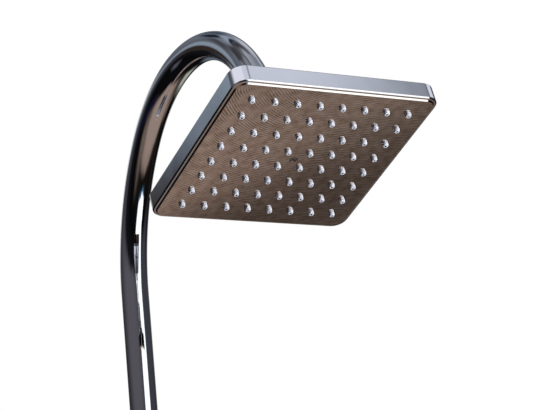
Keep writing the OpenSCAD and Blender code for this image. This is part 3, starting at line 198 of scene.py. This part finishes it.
def makeSilicone():
    # moulded white silicone with a faint blue cast and a soft gloss, its tone cloudy every 8 mm
    look = {"cloudWide": 0.008333, "shades": [(0.3, "#DCDFEC"), (0.7, "#E8EAF5")]}
    made, tree, shader = addMaterial("whiteSilicone", {"Roughness": 0.3, "IOR": 1.41})
    coordinates = addNode(tree, "ShaderNodeTexCoord").outputs["Object"]
    cloud = addNode(tree, "ShaderNodeTexNoise", None,
                    {"Vector": coordinates, "Scale": 1 / look["cloudWide"], "Detail": 3.0})
    colour = addNode(tree, "ShaderNodeValToRGB", {"stops": look["shades"]}, {"Fac": cloud.outputs["Fac"]})
    tree.links.new(colour.outputs["Color"], shader.inputs["Base Color"])
    return made


def makeGrained(name, dark, light, grainWide, grainHigh, sockets, stretch=(1.0, 1.0, 1.0)):
    # a base whose tone and height follow one grain, stretched along the way it was worked
    made, tree, shader = addMaterial(name, sockets)
    coordinates = addNode(tree, "ShaderNodeTexCoord").outputs["Object"]
    drawn = addNode(tree, "ShaderNodeMapping", None, {"Vector": coordinates, "Scale": stretch})
    grain = addNode(tree, "ShaderNodeTexNoise", None,
                    {"Vector": drawn.outputs["Vector"], "Scale": 1 / grainWide, "Detail": 4.0}).outputs["Fac"]
    colour = addNode(tree, "ShaderNodeValToRGB", {"stops": [(0.3, dark), (0.7, light)]}, {"Fac": grain})
    tree.links.new(colour.outputs["Color"], shader.inputs["Base Color"])
    bump = addNode(tree, "ShaderNodeBump", None, {"Height": grain, "Strength": 0.3, "Distance": grainHigh})
    tree.links.new(bump.outputs["Normal"], shader.inputs["Normal"])
    return made


finishes = {
    "chrome": makeChrome(),
    "face_steel": makeFaceSteel(),
    "nozzle_silicone": makeSilicone(),
    # extruded black PVC: satin skin with faint lines 3 mm apart along the column
    "tank_black": makeGrained("extrudedBlackPvc", "#131416", "#1B1C1F", 0.003333, 0.00012,
                              {"Roughness": 0.36, "IOR": 1.53}, (1.0, 1.0, 0.05)),
    # powder-coated steel: orange peel 1.4 mm wide
    "base_black": makeGrained("powderCoatedSteel", "#17181A", "#1F2023", 0.001429, 0.0003,
                              {"Roughness": 0.5, "IOR": 1.5}),
    # moulded nitrile rubber: matt and sooty, with 1.1 mm blots
    "seal_black": makeGrained("nitrileRubber", "#0F0F10", "#191919", 0.001111, 0.0001,
                              {"Roughness": 0.75, "IOR": 1.52}),
    # turned brass: tool marks 0.5 mm apart, in dashes 2 mm long, coarser than real ones so that they show
    "brass": makeGrained("turnedBrass", "#B38B4E", "#D2AC6A", 0.002, 0.00005,
                         {"Roughness": 0.28, "Metallic": 1.0}, (1.0, 1.0, 4.0)),
    # machined stainless screws: a fine skin with 1.2 mm blots
    "steel": makeGrained("machinedStainless", "#9C9DA0", "#B9BABD", 0.00125, 0.00004,
                         {"Roughness": 0.25, "Metallic": 1.0}),
    # moulded acetal and alumina: smooth and bone white, cloudy every 2.5 mm
    "plastic_white": makeGrained("mouldedAcetal", "#DAD9D2", "#E9E8E2", 0.0025, 0.00003,
                                 {"Roughness": 0.3, "IOR": 1.48}),
    # glass-filled nylon: dark and slightly rough, with fibre blots of 1.1 mm
    "plastic_grey": makeGrained("filledNylon", "#2A2B2D", "#37383B", 0.001111, 0.0001,
                                {"Roughness": 0.55, "IOR": 1.53}),
    # moulded ABS: an even grey gloss, cloudy every 1.7 mm
    "cap_grey": makeGrained("mouldedAbs", "#55575B", "#63656A", 0.001667, 0.00003,
                            {"Roughness": 0.3, "IOR": 1.54}),
    # extruded cross-linked polyethylene pipes: waxy, with 2 mm clouds
    "pipe_blue": makeGrained("bluePolyethylene", "#2C4E93", "#3A5FA8", 0.002, 0.00003,
                             {"Roughness": 0.4, "IOR": 1.51}),
    "pipe_red": makeGrained("redPolyethylene", "#9A2F27", "#B03C33", 0.002, 0.00003,
                            {"Roughness": 0.4, "IOR": 1.51}),
}
slotOf = {part["node"]: part["material_slot"] for part in frame["record"]["subparts"]}
for name, shown in frame["nodes"].items():
    shown.data.materials.clear()
    shown.data.materials.append(finishes[slotOf[name]])
print("finishes made:", len(finishes))


# Pieces

def addPiece(name, mesh, stands, body):
    # a finished piece: its place is in its mesh, it stands for a CAD node and takes that node's finish
    made = bpy.data.objects.new(name, mesh)
    scene.collection.objects.link(made)
    mesh.materials.clear()
    mesh.materials.append(finishes[slotOf[stands]])
    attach(made, body)
    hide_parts(stands)
    return made


bodyOf = {part: body for body, parts in frame["record"]["behaviour"]["bodies"].items() for part in parts}


def smoothMesh(mesh, weld, angle, turnOut):
    # points closer than weld are joined, and faces shaded smooth up to an edge of that many degrees
    work = bmesh.new()
    work.from_mesh(mesh)
    bmesh.ops.remove_doubles(work, verts=work.verts, dist=weld)
    if turnOut:
        bmesh.ops.recalc_face_normals(work, faces=work.faces)
    for face in work.faces:
        face.smooth = True
    for edge in work.edges:
        edge.smooth = len(edge.link_faces) == 2 and edge.calc_face_angle(math.pi) < math.radians(angle)
    work.to_mesh(mesh)
    work.free()


def smoothCopy(node):
    # the CAD surface with its loose triangles joined, which already point outwards
    mesh = frame["nodes"][node].data.copy()
    smoothMesh(mesh, weld=2e-6, angle=32, turnOut=False)
    return addPiece(node + "_skin", mesh, node, bodyOf[node])


def gridMesh(name, sheets):
    # each sheet is an array of rows by columns by 3; a closed row or column repeats its first point
    corners, faces, start = [], [], 0
    for sheet in sheets:
        rows, columns = sheet.shape[:2]
        index = start + np.arange(rows * columns).reshape(rows, columns)
        quads = np.stack([index[:-1, :-1], index[:-1, 1:], index[1:, 1:], index[1:, :-1]], -1)
        faces.append(quads.reshape(-1, 4))
        corners.append(sheet.reshape(-1, 3))
        start += rows * columns
    corners, faces = np.concatenate(corners), np.concatenate(faces)
    mesh = bpy.data.meshes.new(name)
    mesh.from_pydata(corners.tolist(), [], faces.tolist())
    smoothMesh(mesh, weld=1e-7, angle=40, turnOut=True)
    return mesh


def makeNeck():
    # a circle carried along leg, wide bend, link, tight bend and tip: centre plus r (cos u side + sin u out).
    # Each step of the path turns by a little and moves by its chord, length times sin(half turn) / half turn.
    neck = {"radius": 0.01094, "bore": 0.0098, "foot": 1.6923, "around": 96,
            # length, turn in degrees and steps of each stretch
            "path": [(0.3237, 0.0, 34), (0.167 * math.radians(42), 42.0, 60), (0.001, 0.0, 1),
                     (0.117 * math.radians(102.6), 102.6, 130), (0.0457, 0.0, 8)]}
    lengths, turns, steps = (np.array(column) for column in zip(*neck["path"]))
    turn, move = np.repeat(np.radians(turns) / steps, steps), np.repeat(lengths / steps, steps)
    angle = np.concatenate([[0.0], np.cumsum(turn)])
    heading, chord = angle[:-1] + turn / 2, move * np.sinc(turn / 2 / math.pi)
    y = np.concatenate([[0.0], -np.cumsum(chord * np.sin(heading))])
    z = neck["foot"] + np.concatenate([[0.0], np.cumsum(chord * np.cos(heading))])
    u = np.linspace(0, 2 * math.pi, neck["around"] + 1)
    sheets = []
    for radius in (neck["radius"], neck["bore"]):
        out = radius * np.sin(u)[None, :]
        sheets.append(np.stack([radius * np.cos(u)[None, :] + 0 * angle[:, None],
                                y[:, None] + out * np.cos(angle)[:, None],
                                z[:, None] + out * np.sin(angle)[:, None]], -1))
    for end in (0, -1):
        sheets.append(np.stack([sheets[0][end], sheets[1][end]]))
    return addPiece("neck_tube", gridMesh("neck_tube", sheets), "neck_pipe", "neck")


def makeNozzles():
    # 8 by 8 lathe-turned nozzles, 17 mm apart, each a profile carried round its axis: (r cos u, r sin u, z),
    # where z runs up into the head. The mat behind them is a square with round corners: the corner's middle
    # plus corner (cos u, sin u).
    nozzle = {"rows": 8, "pitch": 0.017, "tilt": math.radians(17), "ball": (0.0, -0.266432, 2.060917),
              "ballHeight": 0.028, "around": 40,
              # radius and height in mm along the skin, then down the jet's bore
              "skin": [(2.3, 2.6), (2.3, 0.0), (2.29, -0.6), (2.24, -1.2), (2.14, -1.7), (1.98, -2.05),
                       (1.72, -2.26), (1.4, -2.32), (0.66, -2.32)],
              "bore": [(0.66, -2.32), (0.6, -2.2), (0.6, 1.0), (0.0, 1.0)],
              # the mat behind the plate: half side, corner, and its faces' heights
              "mat": (74.9, 8.3, 2.4, 5.0), "cornerPoints": 9}
    turn = np.linspace(0, 2 * math.pi, nozzle["around"] + 1)
    place = (np.arange(nozzle["rows"]) - (nozzle["rows"] - 1) / 2) * nozzle["pitch"]
    backwards = np.array([0.0, math.cos(nozzle["tilt"]), -math.sin(nozzle["tilt"])])
    upwards = np.array([0.0, math.sin(nozzle["tilt"]), math.cos(nozzle["tilt"])])
    middle = np.array(nozzle["ball"]) - nozzle["ballHeight"] * upwards

    def turned(profile):
        r, z = np.array(profile).T / 1000
        across, along = r[:, None] * np.cos(turn), r[:, None] * np.sin(turn)
        return across, along, z[:, None] + 0 * across

    def laid(across, along, height, x=0.0, y=0.0):
        points = (across + x)[..., None] * np.array([1.0, 0.0, 0.0]) + (along + y)[..., None] * backwards
        return middle + points + height[..., None] * upwards

    half, corner, low, high = (value / 1000 for value in nozzle["mat"])
    quarter = np.linspace(0, math.pi / 2, nozzle["cornerPoints"])
    ring = np.concatenate([start + quarter for start in np.arange(4) * math.pi / 2] + [[0.0]])
    times = [len(quarter)] * 4 + [1]
    outX = (half - corner) * np.repeat([1, -1, -1, 1, 1], times) + corner * np.cos(ring)
    outY = (half - corner) * np.repeat([1, 1, -1, -1, 1], times) + corner * np.sin(ring)
    scale = np.array([0.0, 1.0, 1.0, 0.0])[:, None]
    level = np.array([low, low, high, high])[:, None] + 0 * outX
    sheets = [laid(scale * outX, scale * outY, level)]
    sheets += [laid(*turned(nozzle["skin"]), x, y) for x in place for y in place]
    bores = [laid(*turned(nozzle["bore"]), x, y) for x in place for y in place]
    mesh = gridMesh("nozzles", sheets + bores)
    made = addPiece("nozzles", mesh, "nozzle_mat", "head")
    # the last faces are the bores', given the black rubber finish as painted shade inside the holes
    mesh.materials.append(finishes["seal_black"])
    boreFaces = len(bores) * (len(nozzle["bore"]) - 1) * nozzle["around"]
    slots = np.zeros(len(mesh.polygons), np.int32)
    slots[-boreFaces:] = 1
    mesh.polygons.foreach_set("material_index", slots)
    return made


def makeSpring():
    # the non-return valve's spring, a smooth copy with a mesh of its own. In the valve its head stays put and
    # its foot rises 4 mm with the poppet, which nothing here sets up
    spring = {"node": "check_spring", "joint": "poppet_lift", "rise": 0.004}
    made = smoothCopy(spring["node"])
    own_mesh(made)
    return made


smoothed = ["top_cap", "neck_nut", "neck_collar", "ball_stud", "ball_nut", "head_shell", "face_plate",
            "centre_screw", "mixer_plate", "mixer_collar", "mixer_lever", "lever_cap", "tap_body",
            "tap_rosette", "tap_bonnet", "tap_handle", "inlet_fitting", "tank_upper", "tank_lower",
            "seam_band", "base_plate", "base_screws", "hose_adapter", "drain_plug", "tap_screw"]
pieces = [makeNeck(), makeNozzles(), makeSpring()] + [smoothCopy(node) for node in smoothed]
print("pieces made:", len(pieces))


# Studio

def addStage(name, mesh, material, glossOnly):
    # glossOnly: it shows in the chrome alone, neither to the camera nor in the light that falls on the shower
    made = bpy.data.objects.new(name, mesh)
    scene.collection.objects.link(made)
    mesh.materials.append(material)
    if glossOnly:
        made.visible_camera = False
        made.visible_diffuse = False
        made.visible_shadow = False
        made.visible_transmission = False
    return made


def addGlow(name):
    # a material that only glows, for what stands far off
    made = bpy.data.materials.new(name)
    made.use_nodes = True
    tree = made.node_tree
    tree.nodes.clear()
    glow = addNode(tree, "ShaderNodeEmission", None, {"Strength": 1.0})
    addNode(tree, "ShaderNodeOutputMaterial", None, {"Surface": glow.outputs["Emission"]})
    return made, tree, glow


def makeFloor():
    # trowelled pale plaster, cloudy every 330 mm, on a flat square: (x, y, 0)
    floor = {"half": 12.0, "cloudWide": 0.3333, "shades": [(0.3, "#EBEBEA"), (0.7, "#F2F2F1")]}
    made, tree, shader = addMaterial("palePlasterFloor", {"Roughness": 0.9})
    coordinates = addNode(tree, "ShaderNodeTexCoord").outputs["Object"]
    cloud = addNode(tree, "ShaderNodeTexNoise", None,
                    {"Vector": coordinates, "Scale": 1 / floor["cloudWide"], "Detail": 3.0})
    colour = addNode(tree, "ShaderNodeValToRGB", {"stops": floor["shades"]}, {"Fac": cloud.outputs["Fac"]})
    tree.links.new(colour.outputs["Color"], shader.inputs["Base Color"])
    side = np.linspace(-floor["half"], floor["half"], 2)
    x, y = np.meshgrid(side, side)
    laid = addStage("floor", gridMesh("floor", [np.stack([x, y, 0 * x], -1)]), made, False)
    laid.visible_glossy = False
    laid.visible_diffuse = False  # it throws no light back under the head
    return laid


def makeSurroundings():
    # What the chrome sees, as a dome round the head: brown deck below, dark hedge at eye level, pale sky
    # above. The dome is centre plus radius (cos tilt cos turn, cos tilt sin turn, sin tilt). A patch is
    # (azimuth, elevation, half width, half height, softness, colour), with angles in degrees, and azimuth runs
    # from +Y towards +X. A pure white patch is brighter by the glare.
    dome = {"centre": (0.0, -0.15, 2.0), "radius": 8.0, "rings": 32, "turns": 64, "wander": 5.0,
            "wanderScale": 4.5, "glare": 1.4, "seam": -100,
            "height": [(-90, "#9B8A7D"), (-60, "#9E8B81"), (-47, "#8A776D"), (-40, "#3A322D"),
                       (-34, "#15120F"), (-12, "#08080A"), (3, "#17171B"), (12, "#3C3D44"), (27, "#5A5D66"),
                       (50, "#737A85"), (75, "#868C97"), (90, "#A6A8B0")],
            "patches": {
                "treesAhead": (-22, -36, 42, 20, 0.25, "#0C0C0E"),
                "shadeBehind": (168, -37, 60, 9, 0.5, "#15120F"),
                "sunnyDeck": (-100, -38, 26, 10, 0.8, "#6E6159"),
                "sunnyDeckRight": (58, -42, 14, 10, 0.8, "#7C6E65"),
                "treesRight": (80, -16, 22, 18, 0.5, "#1B1A17"),
                "duskyHedge": (112, 8, 22, 14, 0.5, "#3F4047"),
                "greyHedge": (-112, 15, 48, 8, 0.5, "#5C5960"),
                "navyShade": (-64, -24, 5, 17, 0.6, "#12152E"),
                "greyGate": (-34, -15, 4, 6, 0.8, "#55525C"),
                "brightYard": (40, -17, 9, 11, 0.6, "#AEB2A6"),
                "sunlitWall": (45, 13, 6, 7, 0.5, "#C8C6C2"),
                "blueGate": (18, 6, 6, 8, 0.6, "#5F6A76"),
                "whiteWall": (0, 22, 14, 6, 0.5, "#E6E5E3"),
                "deepSky": (-10, 53, 11, 7, 0.5, "#1A2433"),
                "deepSkyRight": (16, 51, 9, 8, 0.6, "#3D4857"),
                "haze": (-5, 65, 30, 3.5, 0.8, "#93A2B0"),
                "cloud": (56, 55, 17, 9, 0.6, "#C3C6D0"),
                "skyBehind": (178, 47, 20, 12, 0.4, "#D6DAE8"),
                "palerSky": (139, 52, 9, 9, 0.9, "#DCE0EE"),
                "canopyLeft": (-60, 58, 17, 11, 0.6, "#3A3739"),
                "canopyAhead": (-34, 44, 11, 7, 0.8, "#48474D"),
                "boughAbove": (0, 77, 62, 5, 0.8, "#413D41"),
                "boughLeft": (-62, 66, 12, 7, 0.8, "#4B494E"),
                "boughRight": (58, 75, 24, 4, 0.8, "#4C484D"),
                "boughInHaze": (-12, 70, 36, 3, 0.6, "#2A2E38"),
                "boughBehind": (-95, 79, 26, 3, 0.8, "#5B5759"),
                "paleGable": (-30, 26, 7, 6, 0.5, "#8C99A6"),
                "brownRoof": (-23, 12, 9, 6.5, 0.3, "#332B26"),
                "openSky": (-118, 41, 48, 15, 0.25, "#EEF0FA"),
                "openSkyRight": (92, 38, 24, 13, 0.25, "#E3E6F2"),
                "dimDeck": (45, -36, 16, 7, 0.9, "#4A413B"),
                "panelFringe": (166, -8.5, 26.5, 28, 0.1, "#3E6F93"),
                "panelFoot": (152, -24, 13, 7.5, 0.1, "#FFFFFF"),
                "whitePanel": (166, -6.5, 24, 27, 0.06, "#FFFFFF"),
            }}
    made, tree, glow = addGlow("deckHedgeAndSky")
    coordinates = addNode(tree, "ShaderNodeTexCoord").outputs["Object"]
    centred = addNode(tree, "ShaderNodeVectorMath", {"operation": "SUBTRACT"},
                      {0: coordinates, 1: dome["centre"]})
    away = addNode(tree, "ShaderNodeVectorMath", {"operation": "NORMALIZE"}, {0: centred.outputs["Vector"]})
    part = addNode(tree, "ShaderNodeSeparateXYZ", None, {"Vector": away.outputs["Vector"]})
    stretched = addNode(tree, "ShaderNodeMapping", None,
                        {"Vector": away.outputs["Vector"], "Scale": (1.0, 1.0, 0.5)})
    noise = addNode(tree, "ShaderNodeTexNoise", None,
                    {"Vector": stretched.outputs["Vector"], "Scale": dome["wanderScale"], "Detail": 4.0})
    wander = addNode(tree, "ShaderNodeSeparateXYZ", None, {"Vector": noise.outputs["Color"]})
    known = {"x": part.outputs["X"], "y": part.outputs["Y"], "z": part.outputs["Z"],
             "noiseX": wander.outputs["X"], "noiseY": wander.outputs["Y"]}
    # rise is the elevation and swing the azimuth, both in degrees and shifted by the noise. The azimuth is
    # counted from the seam, a quiet place, so that no patch crosses its jump.
    seam, degrees = math.radians(dome["seam"]), 180 / math.pi
    steps = [("shift", "MULTIPLY_ADD", "noiseX", dome["wander"] * 2, -dome["wander"]),
             ("up", "ARCSINE", "z"), ("rise", "MULTIPLY_ADD", "up", degrees, "shift"),
             ("xCos", "MULTIPLY", "x", math.cos(seam)), ("ySin", "MULTIPLY", "y", -math.sin(seam)),
             ("turnedX", "ADD", "xCos", "ySin"),
             ("xSin", "MULTIPLY", "x", math.sin(seam)), ("yCos", "MULTIPLY", "y", math.cos(seam)),
             ("turnedY", "ADD", "xSin", "yCos"), ("round", "ARCTAN2", "turnedX", "turnedY"),
             ("roundDegrees", "MULTIPLY", "round", degrees),
             ("swing", "MULTIPLY_ADD", "noiseY", dome["wander"] * 2, "roundDegrees")]
    # how far a direction is from a patch's middle: the fourth root of x to the 4 plus y to the 4
    for azimuth, elevation, wide, high, soft, shade in dome["patches"].values():
        across = (azimuth - dome["seam"] + 180) % 360 - 180 + dome["wander"]
        steps += [("fromX", "SUBTRACT", "swing", across), ("partX", "DIVIDE", "fromX", wide),
                  ("fromY", "SUBTRACT", "rise", elevation), ("partY", "DIVIDE", "fromY", high),
                  ("sizeX", "ABSOLUTE", "partX"), ("fourthX", "POWER", "sizeX", 4.0),
                  ("sizeY", "ABSOLUTE", "partY"), ("fourthY", "POWER", "sizeY", 4.0),
                  ("both", "ADD", "fourthX", "fourthY"),
                  (("reach", azimuth, elevation), "POWER", "both", 0.25)]
    for result, operation, *values in steps:
        inputs = {place: known.get(value, value) for place, value in enumerate(values)}
        known[result] = addNode(tree, "ShaderNodeMath", {"operation": operation}, inputs).outputs[0]
    share = addNode(tree, "ShaderNodeMapRange", None,
                    {"Value": known["rise"], "From Min": -90.0, "From Max": 90.0}).outputs["Result"]
    stops = [((place + 90) / 180, shade) for place, shade in dome["height"]]
    colour = addNode(tree, "ShaderNodeValToRGB", {"stops": stops}, {"Fac": share}).outputs["Color"]
    for azimuth, elevation, wide, high, soft, shade in dome["patches"].values():
        mask = addNode(tree, "ShaderNodeMapRange", {"interpolation_type": "SMOOTHSTEP"},
                       {"Value": known["reach", azimuth, elevation], "From Min": 1 + soft,
                        "From Max": 1 - soft}).outputs["Result"]
        gain = dome["glare"] if shade == "#FFFFFF" else 1.0
        bright = tuple(gain * c for c in linear(shade))
        colour = addNode(tree, "ShaderNodeMix", {"data_type": "RGBA"},
                         {0: mask, 6: colour, 7: bright}).outputs[2]
    tree.links.new(colour, glow.inputs["Color"])
    tilt = np.linspace(-math.pi / 2, math.pi / 2, dome["rings"] + 1)
    turn = np.linspace(0, 2 * math.pi, dome["turns"] + 1)
    flat = np.cos(tilt)[:, None]
    ball = np.stack([flat * np.cos(turn), flat * np.sin(turn), np.sin(tilt)[:, None] + 0 * turn], -1)
    mesh = gridMesh("surroundings", [ball * dome["radius"] + np.array(dome["centre"])])
    return addStage("surroundings", mesh, made, True)


def makeRoom():
    # the background: white to the camera and to what is seen through or in a surface, nearly dark to the rest
    room = {"white": "#FFFFFF", "soft": "#F2F5FA", "softStrength": 0.015}
    world = bpy.data.worlds.new("whiteRoom")
    scene.world = world
    world.use_nodes = True
    tree = world.node_tree
    tree.nodes.clear()
    rays = addNode(tree, "ShaderNodeLightPath")
    seen = rays.outputs["Is Camera Ray"]
    for kind in ("Is Glossy Ray", "Is Transmission Ray"):
        inputs = {0: seen, 1: rays.outputs[kind]}
        seen = addNode(tree, "ShaderNodeMath", {"operation": "MAXIMUM"}, inputs).outputs[0]
    soft = addNode(tree, "ShaderNodeBackground", None,
                   {"Color": linear(room["soft"]), "Strength": room["softStrength"]})
    white = addNode(tree, "ShaderNodeBackground", None, {"Color": linear(room["white"]), "Strength": 1.0})
    both = addNode(tree, "ShaderNodeMixShader", None,
                   {0: seen, 1: soft.outputs["Background"], 2: white.outputs["Background"]})
    addNode(tree, "ShaderNodeOutputWorld", None, {"Surface": both.outputs["Shader"]})


makeFloor()
makeSurroundings()
makeRoom()


def addLamp(name, kind, place, target, energy, size):
    # size is a disc's width in metres, or the sky's spread in radians
    lamp = bpy.data.lights.new(name, kind)
    lamp.energy = energy
    if kind == "SUN":
        lamp.angle = size
    else:
        lamp.shape = "DISK"
        lamp.size = size
    made = bpy.data.objects.new(name, lamp)
    scene.collection.objects.link(made)
    made.location = place
    made.rotation_euler = (Vector(target) - Vector(place)).to_track_quat("-Z", "Y").to_euler()
    made.visible_glossy = False
    return made


lamps = {
    "keyLamp": ("AREA", (2.4, -3.0, 3.6), (0, -0.1, 1.6), 70, 1.8),
    "fillLamp": ("AREA", (-3.2, -1.6, 3.6), (0, 0, 1.2), 35, 2.4),
    "backLamp": ("AREA", (1.6, 3.2, 3.6), (0, 0, 1.2), 35, 2.4),
    # sunlight thrown back by the deck, from the right and from below the head
    "bounceLamp": ("AREA", (1.40, -2.05, 1.21), (0, -0.25, 2.0), 70, 0.5),
    # the sky's even light from overhead, which the head keeps off its nozzles
    "skyLamp": ("SUN", (0, 0, 6), (0, 0, 0), 3.4, math.radians(110)),
}
for name, values in lamps.items():
    addLamp(name, *values)
print("studio set, lamps:", len(lamps))
